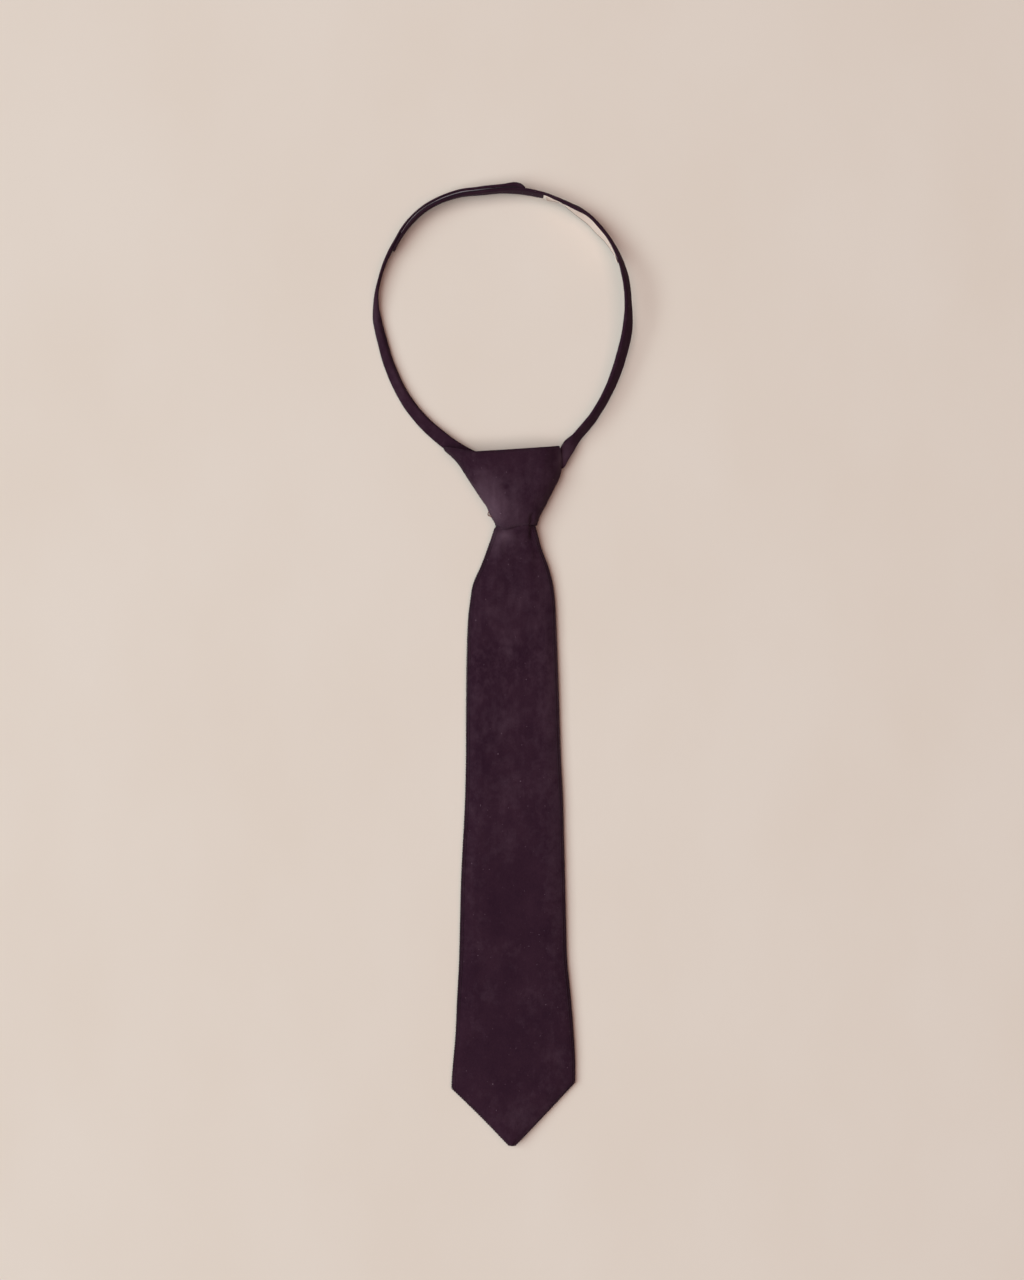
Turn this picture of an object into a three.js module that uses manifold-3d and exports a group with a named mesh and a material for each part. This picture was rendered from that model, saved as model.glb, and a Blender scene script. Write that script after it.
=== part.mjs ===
// A child's ready-tied skinny tie in black velvet, lying on its back.
// Millimetres. +Y runs from the pointed tip of the blade to the back of the neck band,
// +Z is the front of the tie, and Z = 0 is the surface that it lies on.
import * as THREE from 'three';
import { mergeVertices } from 'three/addons/utils/BufferGeometryUtils.js';
import Module from 'manifold-3d';

const wasm = await Module();
wasm.setup();

// Cloth and clearances
const bladeWall = 1.2;
const knotWall = 1.2;
const bandThick = 1.0;
const tapeThick = 0.4;
const tapeHigh = 5.0;
const tapeRaise = 0.7;
const labelThick = 0.4;
const labelHigh = 5.2;
const layerGap = 0.4;

// Spacing of the rows of a loft: down the straight blade, where it is gathered, and round a bend
const longStep = 8;
const fineStep = 2;
const bendStep = 4;

// A cut runs this far past the face that it opens, and this far into the hollow behind it
const cutReach = 1;
const cutBite = 0.3;

// Blade: the folded tube of cloth, from the tip to its gathered end inside the knot.
// y is the height along the tie, left and right are its folded edges, thick is front to back,
// and base is how far its back lies above the surface. The point lifts off the surface.
const tip = { x: 4.0, y: -191.6, thick: 3.6, wide: 4.4, lift: 2.2 };
const tipCorner = { y: -167.2, slope: 0.04, fades: 30 };
const bladeRows = [
  { y: -167.2, left: -20.4, right: 29.0, thick: 4.2, base: 0 },
  { y: -150.2, left: -19.0, right: 28.6, thick: 4.6, base: 0 },
  { y: -118.2, left: -17.4, right: 26.0, thick: 4.7, base: 0 },
  { y: -86.2, left: -16.5, right: 25.0, thick: 4.7, base: 0 },
  { y: -54.2, left: -15.1, right: 24.2, thick: 4.7, base: 0 },
  { y: 0, left: -14.4, right: 22.4, thick: 4.7, base: 0 },
  { y: 25, left: -13.0, right: 21.0, thick: 4.8, base: 0 },
  { y: 37, left: -9.8, right: 19.0, thick: 5.2, base: 0 },
  { y: 47, left: -5.8, right: 15.4, thick: 6.0, base: 0.3 },
  { y: 52.8, left: -3.6, right: 13.8, thick: 6.8, base: 1.1 },
  { y: 55.2, left: -1.0, right: 12.2, thick: 7.0, base: 1.6 },
  { y: 58, left: -0.9, right: 12.2, thick: 6.5, base: 2.2 },
  { y: 68, left: -2.4, right: 13.4, thick: 5.4, base: 4.2 },
  { y: 78, left: -4.0, right: 14.4, thick: 4.6, base: 6.0 },
  { y: 84, left: -4.6, right: 15.0, thick: 4.2, base: 6.4 },
];
const gatherFrom = 36;
const bladeFold = 2.1;
const bladeCrown = 0.14;

// Back of the blade: the two flaps meet at a seam and part above the tip in a kite.
// The cut for it goes deeper, because the cloth rises there. The hem is how much deeper than
// the wall the cloth is turned in at the point.
const seamWide = 0.6;
const kite = { above: 22, below: 13, inset: 10, deeper: 0.8 };
const hemDeep = 3;

// Knot: the cloth wrapped once round the blade and the band, wide at the top. Its back is flat
// and its front is domed; low is how high its sides are widest, and foot how far they curve in
// below that. slope tilts the row: its right end stands higher than its left end.
const knotRows = [
  { y: 55.6, left: -2.7, right: 13.8, thick: 10.4, slope: 0.0 },
  { y: 60.7, left: -5.4, right: 15.8, thick: 10.9, slope: 0.01 },
  { y: 70.2, left: -11.3, right: 20.6, thick: 11.7, slope: 0.02 },
  { y: 75.0, left: -14.5, right: 23.1, thick: 12.1, slope: 0.027 },
  { y: 79.8, left: -17.8, right: 24.8, thick: 12.4, slope: 0.035 },
  { y: 85.6, left: -23.7, right: 25.6, thick: 12.8, slope: 0.047 },
];
// Its rim turns down on the right, where the strap comes out
const rimCorner = { x: 22.8, below: 22.8, y: 76.8, reach: 12 };
const knotLow = 3.4;
const knotFoot = 2.4;
const knotDome = 2.8;

// Neck band: a flattened velvet tube. It stands on its edge at the back of the neck, where it is
// held a little above the surface, puffs up and rolls over round the left side, where it rests,
// and lies flat inside the knot. angle runs anticlockwise round the loop's centre, radius is to
// the middle of the tube, lean turns its top edge inwards, base is how far it lies above the
// surface, and high and thick are its width and its thickness.
const loopCentre = { x: -0.1, y: 138.0 };
const overlapRows = [
  { angle: 438, radius: 50.9, lean: -8, base: 3.9, high: 6.4, thick: 1 },
  { angle: 444, radius: 50.5, lean: -6, base: 3.9, high: 6.4, thick: 1 },
  { angle: 450, radius: 50.1, lean: -3, base: 3.9, high: 6.4, thick: 1 },
  { angle: 456, radius: 49.9, lean: -1, base: 3.8, high: 6.4, thick: 1 },
  { angle: 462, radius: 50.15, lean: 1, base: 3.7, high: 6.4, thick: 1 },
  { angle: 468, radius: 51, lean: 3, base: 3.5, high: 6.4, thick: 1 },
  { angle: 474, radius: 51.6, lean: 5, base: 3.3, high: 6.4, thick: 1 },
  { angle: 480, radius: 52.1, lean: 6, base: 3, high: 6.4, thick: 1 },
  { angle: 486, radius: 52.45, lean: 6, base: 2.7, high: 6.4, thick: 1 },
  { angle: 492, radius: 52.5, lean: 6, base: 2.3, high: 6.4, thick: 1 },
  { angle: 498, radius: 52.1, lean: 6, base: 1.8, high: 6.4, thick: 1 },
  { angle: 504, radius: 51.4, lean: 6, base: 1.3, high: 6.4, thick: 1 },
];
const overlapStep = bandThick + 2 * tapeThick + 3 * layerGap;
const bandRows = [
  { angle: 156, radius: 52.1, lean: 2, base: 0.3, high: 6.3, thick: 1 },
  { angle: 162, radius: 51.8, lean: 0, base: 0.1, high: 6, thick: 1.05 },
  { angle: 168, radius: 51.55, lean: 0, base: 0, high: 5.4, thick: 1.3 },
  { angle: 174, radius: 50.75, lean: 12, base: 0, high: 4.4, thick: 2.1 },
  { angle: 180, radius: 49.95, lean: 32, base: 0, high: 3.8, thick: 2.8 },
  { angle: 186, radius: 49.1, lean: 45, base: 0, high: 3.8, thick: 3 },
  { angle: 192, radius: 48.65, lean: 54, base: 0, high: 3.8, thick: 3 },
  { angle: 204, radius: 48.8, lean: 60, base: 0, high: 4.2, thick: 3 },
  { angle: 216, radius: 49.75, lean: 63, base: 0, high: 4.5, thick: 2.9 },
  { angle: 228, radius: 51.2, lean: 68, base: 0.1, high: 5, thick: 2.6 },
  { angle: 240, radius: 52.95, lean: 74, base: 0.9, high: 5.4, thick: 2.1 },
  { angle: 248, radius: 54.5, lean: 79, base: 2.2, high: 5.6, thick: 1.6 },
  { angle: 259, radius: 57.1, lean: 82, base: 1.9, high: 6, thick: 1 },
  { angle: 272, radius: 59.8, lean: 84, base: 1.8, high: 6.4, thick: 1 },
  { angle: 285, radius: 61.2, lean: 82, base: 2.6, high: 6.4, thick: 1 },
  { angle: 289, radius: 60.9, lean: 80, base: 3, high: 6.4, thick: 1 },
  { angle: 291, radius: 60.7, lean: 79, base: 3.2, high: 6.4, thick: 1 },
  { angle: 292.5, radius: 60.9, lean: 78, base: 3.4, high: 6.4, thick: 1 },
  { angle: 294.3, radius: 60.1, lean: 78, base: 3.6, high: 6.4, thick: 1 },
  { angle: 296.4, radius: 58.6, lean: 76, base: 3.8, high: 6.4, thick: 1 },
  { angle: 298.4, radius: 57.55, lean: 58, base: 3.8, high: 6.3, thick: 1.1 },
  { angle: 300.4, radius: 56.65, lean: 40, base: 3.7, high: 6.3, thick: 1.2 },
  { angle: 303, radius: 55.7, lean: 34, base: 3.6, high: 6.2, thick: 1.35 },
  { angle: 306, radius: 54.95, lean: 31, base: 3.6, high: 6.2, thick: 1.5 },
  { angle: 312, radius: 53.75, lean: 28, base: 3.6, high: 6.2, thick: 1.7 },
  { angle: 318, radius: 52.55, lean: 26, base: 3.7, high: 6.2, thick: 1.9 },
  { angle: 330, radius: 50.75, lean: 30, base: 3.9, high: 6.2, thick: 1.95 },
  { angle: 342, radius: 49.75, lean: 34, base: 4.6, high: 6.2, thick: 1.95 },
  { angle: 354, radius: 49.95, lean: 33.5, base: 5.6, high: 6.2, thick: 1.9 },
  { angle: 366, radius: 50.2, lean: 23, base: 6.6, high: 6.2, thick: 1.75 },
  { angle: 378, radius: 51.3, lean: 21, base: 6.2, high: 6.4, thick: 1.5 },
  { angle: 390, radius: 52.4, lean: 17, base: 4.2, high: 6.4, thick: 1.35 },
  { angle: 404, radius: 53.5, lean: 9, base: 2.6, high: 6.4, thick: 1.15 },
  { angle: 412, radius: 53.3, lean: 5, base: 2.7, high: 6.4, thick: 1.1 },
  { angle: 420, radius: 52.35, lean: 0, base: 3.2, high: 6.4, thick: 1 },
  { angle: 430, radius: 51.3, lean: -5, base: 3.7, high: 6.4, thick: 1 },
];

// Hook tape and loop tape, pressed together between the two ends of the band
const tapeFrom = 82;
const tapeTo = 140;

// Blank ribbon label on the inside of the right strap, stitched at its ends.
// inset is from the middle of the strap to the middle of the ribbon.
const labelRows = [
  { angle: 385, inset: 1.5, lean: 17, base: 5.7 },
  { angle: 392, inset: 1.75, lean: 4, base: 4.4 },
  { angle: 402, inset: 2.2, lean: -18, base: 2.9 },
  { angle: 410, inset: 2.2, lean: -19, base: 2.8 },
  { angle: 418, inset: 1.75, lean: -9, base: 3.4 },
  { angle: 424, inset: 1.5, lean: -5, base: 3.9 },
  { angle: 431, inset: 1.4, lean: -6, base: 4.3 },
];

// Smooth values of a table, read at any station between its first and last rows
function smoothTable(rows, key, names) {
  const places = rows.map((row) => row[key]);
  const values = rows.flatMap((row) => names.map((name) => row[name]));
  const curve = new THREE.CubicInterpolant(places, values, names.length, []);
  return (at) => {
    const found = Array.from(curve.evaluate(at));
    return Object.fromEntries(names.map((name, place) => [name, found[place]]));
  };
}

// Evenly spaced stations from one value to another, both ends included
function stations(from, to, step) {
  const count = Math.ceil(Math.abs(to - from) / step);
  return Array.from({ length: count + 1 }, (_, i) => from + ((to - from) * i) / count);
}

// Flattened tube section: flat underneath, folded at both edges, a little domed on top
function foldedSection(left, right, base, thick, fold, crown) {
  const foldPoints = 6;
  const edgeHigh = thick * (1 - crown);
  const round = Math.min(fold, (right - left) / 2.5);
  const edge = (centre, side) => Array.from({ length: foldPoints + 1 }, (_, i) => {
    const turn = -Math.PI / 2 + (Math.PI * i) / foldPoints;
    const out = side * round * Math.cos(turn);
    return new THREE.Vector2(centre + out, base + (edgeHigh / 2) * (1 + Math.sin(turn)));
  });
  const top = [0.72, 0.36, 0, -0.36, -0.72].map((across) => {
    const half = (right - left) / 2 - round;
    const rise = thick * crown * (1 - across ** 4);
    return new THREE.Vector2((left + right) / 2 + across * half, base + edgeHigh + rise);
  });
  return [...edge(right - round, 1), ...top, ...edge(left + round, -1).reverse()];
}

// Knot section: flat underneath, rounded feet, widest at the height low, domed above that
function domedSection(left, right, base, thick, low, foot) {
  const footPoints = 4;
  const domePoints = 9;
  const middle = (left + right) / 2;
  const half = (right - left) / 2;
  const feet = (side) => Array.from({ length: footPoints }, (_, i) => {
    const turn = -Math.PI / 2 + (Math.PI / 2 * i) / footPoints;
    const x = middle + side * (half - foot + foot * Math.cos(turn));
    return new THREE.Vector2(x, low + (low - base) * Math.sin(turn));
  });
  const dome = Array.from({ length: 2 * domePoints + 1 }, (_, i) => {
    const turn = (Math.PI / 2 * i) / domePoints;
    const across = Math.sign(Math.cos(turn)) * Math.abs(Math.cos(turn)) ** (2 / knotDome);
    const rise = Math.abs(Math.sin(turn)) ** (2 / knotDome);
    return new THREE.Vector2(middle + half * across, low + (base + thick - low) * rise);
  });
  return [...feet(1), ...dome, ...feet(-1).reverse()];
}

// Closed solid through a list of sections, which run anticlockwise as seen from ahead.
// Each has the same number of points, as a flat outline (for the end faces) and as places.
function loftSolid(sections) {
  const count = sections[0].flat.length;
  const corners = sections.flatMap((section) => section.places);
  const faces = [];
  for (let row = 0; row < sections.length - 1; row += 1) {
    for (let i = 0; i < count; i += 1) {
      const next = (i + 1) % count;
      const a = row * count + i;
      const b = row * count + next;
      faces.push([a, b, b + count], [a, b + count, a + count]);
    }
  }
  const last = (sections.length - 1) * count;
  const startFace = THREE.ShapeUtils.triangulateShape(sections[0].flat, []);
  const endFace = THREE.ShapeUtils.triangulateShape(sections.at(-1).flat, []);
  startFace.forEach(([a, b, c]) => faces.push([a, c, b]));
  endFace.forEach(([a, b, c]) => faces.push([last + a, last + b, last + c]));
  const geometry = new THREE.BufferGeometry();
  const values = corners.flatMap((corner) => [corner.x, corner.y, corner.z]);
  geometry.setAttribute('position', new THREE.Float32BufferAttribute(values, 3));
  geometry.setIndex(faces.flat());
  return geometry;
}

// Tube section standing across the tie at one height, its right end raised by the slope
function placedSection(flat, y, slope) {
  const middle = (Math.min(...flat.map((p) => p.x)) + Math.max(...flat.map((p) => p.x))) / 2;
  const places = flat.map((p) => new THREE.Vector3(p.x, y + slope * (p.x - middle), p.y));
  return { flat, places };
}

// Solids for cutting and joining, and back to a mesh
function toSolid(geometry) {
  const merged = mergeVertices(geometry, 1e-5);
  const vertProperties = new Float32Array(merged.attributes.position.array);
  const triVerts = new Uint32Array(merged.index.array);
  return new wasm.Manifold(new wasm.Mesh({ numProp: 3, vertProperties, triVerts }));
}

function toGeometry(solid) {
  const mesh = solid.getMesh();
  const geometry = new THREE.BufferGeometry();
  geometry.setAttribute('position', new THREE.Float32BufferAttribute(mesh.vertProperties, 3));
  geometry.setIndex(Array.from(mesh.triVerts));
  return geometry;
}

// The blade at one height: below the corners its two edges run straight to the tip
const bladeAt = smoothTable(bladeRows, 'y', ['left', 'right', 'thick', 'base']);

function bladeRow(y) {
  const corner = bladeAt(tipCorner.y);
  if (y >= tipCorner.y) {
    const found = bladeAt(y);
    const nearCorner = Math.max(0, 1 - (y - tipCorner.y) / tipCorner.fades);
    return { ...found, base: Math.max(found.base, 0), slope: tipCorner.slope * nearCorner };
  }
  const along = (tipCorner.y - y) / (tipCorner.y - tip.y);
  return {
    left: THREE.MathUtils.lerp(corner.left, tip.x - tip.wide / 2, along),
    right: THREE.MathUtils.lerp(corner.right, tip.x + tip.wide / 2, along),
    thick: THREE.MathUtils.lerp(corner.thick, tip.thick, along),
    base: tip.lift * along ** 2,
    slope: tipCorner.slope * (1 - along),
  };
}

// Heights of the rows down the blade, close together where it is gathered
function bladeHeights(from, to) {
  return [
    ...stations(from, gatherFrom, fineStep),
    ...stations(gatherFrom, to, longStep).slice(1),
  ];
}

// Part of the blade's folded tube, from one height down to another, drawn in by the inset
function bladeTube(from, to, inset) {
  const heights = bladeHeights(from, tipCorner.y);
  heights.push(...stations(tipCorner.y, to, longStep).slice(1));
  const sections = heights.map((y) => {
    const row = bladeRow(y);
    const left = row.left + inset;
    const right = row.right - inset;
    const thick = row.thick - 2 * inset;
    const flat = foldedSection(left, right, row.base + inset, thick, bladeFold - inset, bladeCrown);
    return placedSection(flat, y, row.slope);
  });
  return toSolid(loftSolid(sections));
}

// Slot between the two back flaps, from inside the knot down to the kite
function seamSlot(from, to) {
  const sections = bladeHeights(from, to).map((y) => {
    const row = bladeRow(y);
    const middle = (row.left + row.right) / 2;
    const low = row.base - cutReach;
    const high = row.base + bladeWall + cutBite;
    const flat = [
      new THREE.Vector2(middle - seamWide / 2, low),
      new THREE.Vector2(middle + seamWide / 2, low),
      new THREE.Vector2(middle + seamWide / 2, high),
      new THREE.Vector2(middle - seamWide / 2, high),
    ];
    return placedSection(flat, y, 0);
  });
  return toSolid(loftSolid(sections));
}

// Kite-shaped opening above the tip, where the two flaps part
function kiteCut() {
  const corner = bladeAt(tipCorner.y);
  const middle = (corner.left + corner.right) / 2;
  const outline = new THREE.Shape([
    new THREE.Vector2(middle, tipCorner.y + kite.above),
    new THREE.Vector2(corner.left + kite.inset, tipCorner.y),
    new THREE.Vector2(tip.x, tip.y + kite.below),
    new THREE.Vector2(corner.right - kite.inset, tipCorner.y),
  ]);
  const depth = cutReach + bladeWall + cutBite + kite.deeper;
  const geometry = new THREE.ExtrudeGeometry(outline, { depth, bevelEnabled: false });
  geometry.deleteAttribute('normal');
  geometry.deleteAttribute('uv');
  geometry.translate(0, 0, -cutReach);
  return toSolid(geometry);
}

function makeBlade() {
  const top = bladeRows.at(-1).y;
  return toGeometry(
    bladeTube(top, tip.y, 0)
      .subtract(bladeTube(top + cutReach, tip.y + hemDeep, bladeWall))
      .subtract(seamSlot(top + cutReach, tipCorner.y + kite.above - cutReach))
      .subtract(kiteCut()),
  );
}

// Sleeve of the knot, drawn in by the inset and run past both ends by the reach
const knotAt = smoothTable(knotRows, 'y', ['left', 'right', 'thick', 'slope']);

function knotTube(inset, reach) {
  const top = knotRows.at(-1).y;
  const bottom = knotRows[0].y;
  const sections = stations(top + reach, bottom - reach, fineStep).map((y) => {
    const row = knotAt(y);
    const left = row.left + inset;
    const right = row.right - inset;
    const thick = row.thick - 2 * inset;
    const flat = domedSection(left, right, inset, thick, knotLow, knotFoot - inset / 2);
    return placedSection(flat, y, row.slope);
  });
  return toSolid(loftSolid(sections));
}

// Piece of the knot's right top corner that the turned-down rim leaves open
function rimCut() {
  const outline = new THREE.Shape([
    new THREE.Vector2(rimCorner.below, rimCorner.y),
    new THREE.Vector2(rimCorner.x + rimCorner.reach, rimCorner.y),
    new THREE.Vector2(rimCorner.x + rimCorner.reach, rimCorner.y + rimCorner.reach),
    new THREE.Vector2(rimCorner.x, rimCorner.y + rimCorner.reach),
  ]);
  const depth = knotRows.at(-1).thick + 2 * cutReach;
  const geometry = new THREE.ExtrudeGeometry(outline, { depth, bevelEnabled: false });
  geometry.deleteAttribute('normal');
  geometry.deleteAttribute('uv');
  geometry.translate(0, 0, -cutReach);
  return toSolid(geometry);
}

function makeKnot() {
  const sleeve = knotTube(0, 0).subtract(knotTube(knotWall, cutReach));
  return toGeometry(sleeve.subtract(rimCut()));
}

// Middle line of the band: the right end lies inside, the left end laps over it
const bandPath = smoothTable(
  [
    ...overlapRows.map((row) => ({
      ...row,
      angle: row.angle - 360,
      radius: row.radius + overlapStep,
    })),
    ...bandRows,
    ...overlapRows,
  ],
  'angle',
  ['radius', 'lean', 'base', 'high', 'thick'],
);

// Section of a strip, inward and up: two flat faces joined by half-round edges
function stripSection(high, thick) {
  const round = thick / 2;
  const straight = high / 2 - round;
  const edge = (from, side) => [0, 45, 90, 135, 180].map((turn) => {
    const at = THREE.MathUtils.degToRad(from + turn);
    return new THREE.Vector2(round * Math.cos(at), side * straight + round * Math.sin(at));
  });
  return [...edge(0, 1), ...edge(180, -1)];
}

// Strip round the loop through a list of rows, each with its own height and thickness
function stripSolid(rows) {
  const sections = rows.map((row) => {
    const flat = stripSection(row.high, row.thick);
    const around = THREE.MathUtils.degToRad(row.angle);
    const lean = THREE.MathUtils.degToRad(row.lean);
    const inward = new THREE.Vector3(-Math.cos(around), -Math.sin(around), 0);
    const face = inward.clone().multiplyScalar(Math.cos(lean)).setZ(-Math.sin(lean));
    const up = inward.clone().multiplyScalar(Math.sin(lean)).setZ(Math.cos(lean));
    const turned = flat.map((p) => face.clone().multiplyScalar(p.x).addScaledVector(up, p.y));
    const lowest = Math.min(...turned.map((p) => p.z));
    const centre = inward.clone().multiplyScalar(-row.radius);
    centre.add(new THREE.Vector3(loopCentre.x, loopCentre.y, Math.max(row.base, 0) - lowest));
    return { flat, places: turned.map((p) => p.add(centre)) };
  });
  return loftSolid(sections);
}

function makeBand() {
  const from = overlapRows[0].angle - 360;
  const to = overlapRows.at(-1).angle;
  return stripSolid(stations(from, to, bendStep).map((angle) => ({ ...bandPath(angle), angle })));
}

// Closing tape, set off from the band's inner end by the offset
function makeTape(offset) {
  const rows = stations(tapeFrom, tapeTo, bendStep).map((angle) => {
    const { radius, lean, base } = bandPath(angle + 360);
    const place = { angle, radius: radius + offset, lean, base: base + tapeRaise };
    return { ...place, high: tapeHigh, thick: tapeThick };
  });
  return stripSolid(rows);
}

const hookOffset = (bandThick + tapeThick) / 2 + layerGap;
const loopOffset = hookOffset + tapeThick + layerGap;

function makeLabel() {
  const labelAt = smoothTable(labelRows, 'angle', ['inset', 'lean', 'base']);
  const angles = stations(labelRows[0].angle, labelRows.at(-1).angle, bendStep / 2);
  const rows = angles.map((angle) => {
    const { inset, lean, base } = labelAt(angle);
    const radius = bandPath(angle).radius - inset;
    return { angle, radius, lean, base, high: labelHigh, thick: labelThick };
  });
  return stripSolid(rows);
}

// Materials
const velvet = { color: 0x33202b, roughness: 0.95, metalness: 0 };
const materials = {
  bladeVelvet: new THREE.MeshStandardMaterial(velvet),
  knotVelvet: new THREE.MeshStandardMaterial(velvet),
  bandVelvet: new THREE.MeshStandardMaterial(velvet),
  loopPile: new THREE.MeshStandardMaterial({ color: 0x8a8288, roughness: 0.9, metalness: 0 }),
  hookNylon: new THREE.MeshStandardMaterial({ color: 0x3a3036, roughness: 0.6, metalness: 0 }),
  labelSatin: new THREE.MeshStandardMaterial({ color: 0xf1e8e0, roughness: 0.45, metalness: 0 }),
};

function addPiece(tie, name, geometry, material) {
  geometry.computeVertexNormals();
  const piece = new THREE.Mesh(geometry, material);
  piece.name = name;
  tie.add(piece);
}

const tie = new THREE.Group();
addPiece(tie, 'blade', makeBlade(), materials.bladeVelvet);
addPiece(tie, 'knot_wrap', makeKnot(), materials.knotVelvet);
addPiece(tie, 'neck_band', makeBand(), materials.bandVelvet);
addPiece(tie, 'hook_tape', makeTape(hookOffset), materials.hookNylon);
addPiece(tie, 'loop_tape', makeTape(loopOffset), materials.loopPile);
addPiece(tie, 'neck_label', makeLabel(), materials.labelSatin);

export default tie;
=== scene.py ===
# A child's ready-tied skinny tie in black cotton velvet, lying on its back on a pale table.
# +Y runs from the point of the blade to the back of the neck band, +Z is the front of the tie.
# The tables of the pieces are in millimetres; the meshes are in metres, in the frame of the CAD.
import math

import bpy
import numpy as np
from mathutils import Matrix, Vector, noise


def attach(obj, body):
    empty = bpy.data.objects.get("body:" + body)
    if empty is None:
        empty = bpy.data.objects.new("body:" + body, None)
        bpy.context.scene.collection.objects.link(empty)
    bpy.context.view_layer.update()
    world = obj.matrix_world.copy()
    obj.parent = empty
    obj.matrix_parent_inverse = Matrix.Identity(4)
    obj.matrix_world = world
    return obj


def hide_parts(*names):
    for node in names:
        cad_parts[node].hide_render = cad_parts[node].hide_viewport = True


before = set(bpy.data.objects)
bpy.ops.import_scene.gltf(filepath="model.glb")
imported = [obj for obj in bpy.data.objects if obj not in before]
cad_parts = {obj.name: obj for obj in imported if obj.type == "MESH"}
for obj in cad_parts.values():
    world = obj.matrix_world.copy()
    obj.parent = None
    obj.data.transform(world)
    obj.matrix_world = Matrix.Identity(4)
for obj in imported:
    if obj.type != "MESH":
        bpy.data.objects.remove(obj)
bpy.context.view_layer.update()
bpy.ops.object.select_all(action="DESELECT")

# Table top: a board painted in a warm off-white, with faint brush marks and a chalky surface.
# It is only the ground that the tie lies on, so it belongs to the stage.
MM = 0.001
PAINT_LIGHT = "#ddd0c5"
PAINT_DEEP = "#dbcdc1"


def tone(code):
    """Linear colour of an sRGB hex value."""
    parts = [int(code[i:i + 2], 16) / 255 for i in (1, 3, 5)]
    return tuple(p / 12.92 if p <= 0.04045 else ((p + 0.055) / 1.055) ** 2.4 for p in parts) + (1.0,)


def add_node(material, kind, sockets=None, **settings):
    """Adds one node: settings are its own properties, sockets are values or outputs to link."""
    made = material.node_tree.nodes.new("ShaderNode" + kind)
    for name, value in settings.items():
        setattr(made, name, value)
    for name, value in (sockets or {}).items():
        if isinstance(value, bpy.types.NodeSocket):
            material.node_tree.links.new(value, made.inputs[name])
        else:
            made.inputs[name].default_value = value
    return made


def new_material(name, sockets):
    """A material with only its surface shader, whose constant sockets are set here."""
    made = bpy.data.materials.new(name)
    made.use_nodes = True
    made.node_tree.nodes.clear()
    shader = add_node(made, "BsdfPrincipled", sockets)
    add_node(made, "OutputMaterial", {"Surface": shader.outputs["BSDF"]})
    return made


def finish_surface(material, colour, height=None, strength=0.0, deep=0.0):
    """Links a colour to the surface shader, and a bump that is deep millimetres high."""
    surface = material.node_tree.nodes["Principled BSDF"].inputs
    material.node_tree.links.new(colour, surface["Base Color"])
    if height is not None:
        sockets = {"Height": height, "Strength": strength, "Distance": deep * MM}
        bump = add_node(material, "Bump", sockets).outputs["Normal"]
        material.node_tree.links.new(bump, surface["Normal"])


def stretched_noise(material, size, detail, roughness=0.5):
    """Noise on object coordinates whose blots are size wide in x, y and z, in millimetres."""
    place = add_node(material, "TexCoord").outputs["Object"]
    scale = tuple(1 / (s * MM) for s in size)
    mapped = add_node(material, "Mapping", {"Vector": place, "Scale": scale}).outputs["Vector"]
    sockets = {"Vector": mapped, "Scale": 1.0, "Detail": detail, "Roughness": roughness}
    return add_node(material, "TexNoise", sockets).outputs["Fac"]


def blend_tones(material, factor, low, high, from_at=0.35, to_at=0.65):
    """Colour between two tones where the factor runs from from_at to to_at."""
    spread = add_node(material, "MapRange", {"Value": factor, "From Min": from_at, "From Max": to_at})
    # On a Mix node, inputs 6 and 7 are its two colours, and output 2 is the mixed one
    sockets = {0: spread.outputs["Result"], 6: low, 7: high}
    return add_node(material, "Mix", sockets, data_type="RGBA").outputs[2]


# Chalk paint: flat, a little mottled, brushed along Y
chalk_paint = new_material("chalk_paint", {"Roughness": 0.85, "Specular IOR Level": 0.2})
mottle = stretched_noise(chalk_paint, (70, 110, 70), 3.0)
brushed = stretched_noise(chalk_paint, (1.6, 9, 2), 4.0)
chalk_colour = blend_tones(chalk_paint, mottle, tone(PAINT_DEEP), tone(PAINT_LIGHT))
finish_surface(chalk_paint, chalk_colour, height=brushed, strength=0.12, deep=0.2)

bpy.ops.mesh.primitive_plane_add(size=8.0, location=(0, 0, 0))
table_top = bpy.context.object
table_top.name = "table_top"
table_top.data.materials.append(chalk_paint)
table_top.select_set(False)

# Light: a wide cool softbox high on the left, a wide warm one overhead, and a dim warm room.
# Both softboxes are large for their distance, so the tie's shadows are soft and faint.
scene = bpy.context.scene
scene.view_settings.view_transform = "Standard"
room = bpy.data.worlds.new("dim_room")
scene.world = room
room.use_nodes = True
glow = room.node_tree.nodes["Background"].inputs
glow["Color"].default_value = (1.0, 0.9, 0.88, 1.0)
glow["Strength"].default_value = 0.045


def soft_light(name, toward, distance, wide, power, colour):
    """Square softbox that shines at the middle of the tie from the direction given."""
    lamp = bpy.data.lights.new(name, "AREA")
    lamp.shape = "SQUARE"
    lamp.size = wide
    lamp.energy = power
    lamp.color = colour
    holder = bpy.data.objects.new(name, lamp)
    scene.collection.objects.link(holder)
    direction = Vector(toward).normalized()
    holder.location = direction * distance
    holder.rotation_mode = "QUATERNION"
    holder.rotation_quaternion = direction.to_track_quat("Z", "Y")


soft_light(
    "window_softbox", toward=(-0.64, -0.05, 1.0), distance=4.2, wide=3.9, power=195.0,
    colour=(0.829, 1.0, 1.031))
soft_light(
    "ceiling_softbox", toward=(0.05, 0.0, 1.0), distance=4.2, wide=4.2, power=79.0,
    colour=(1.0, 0.62, 0.56))

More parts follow.
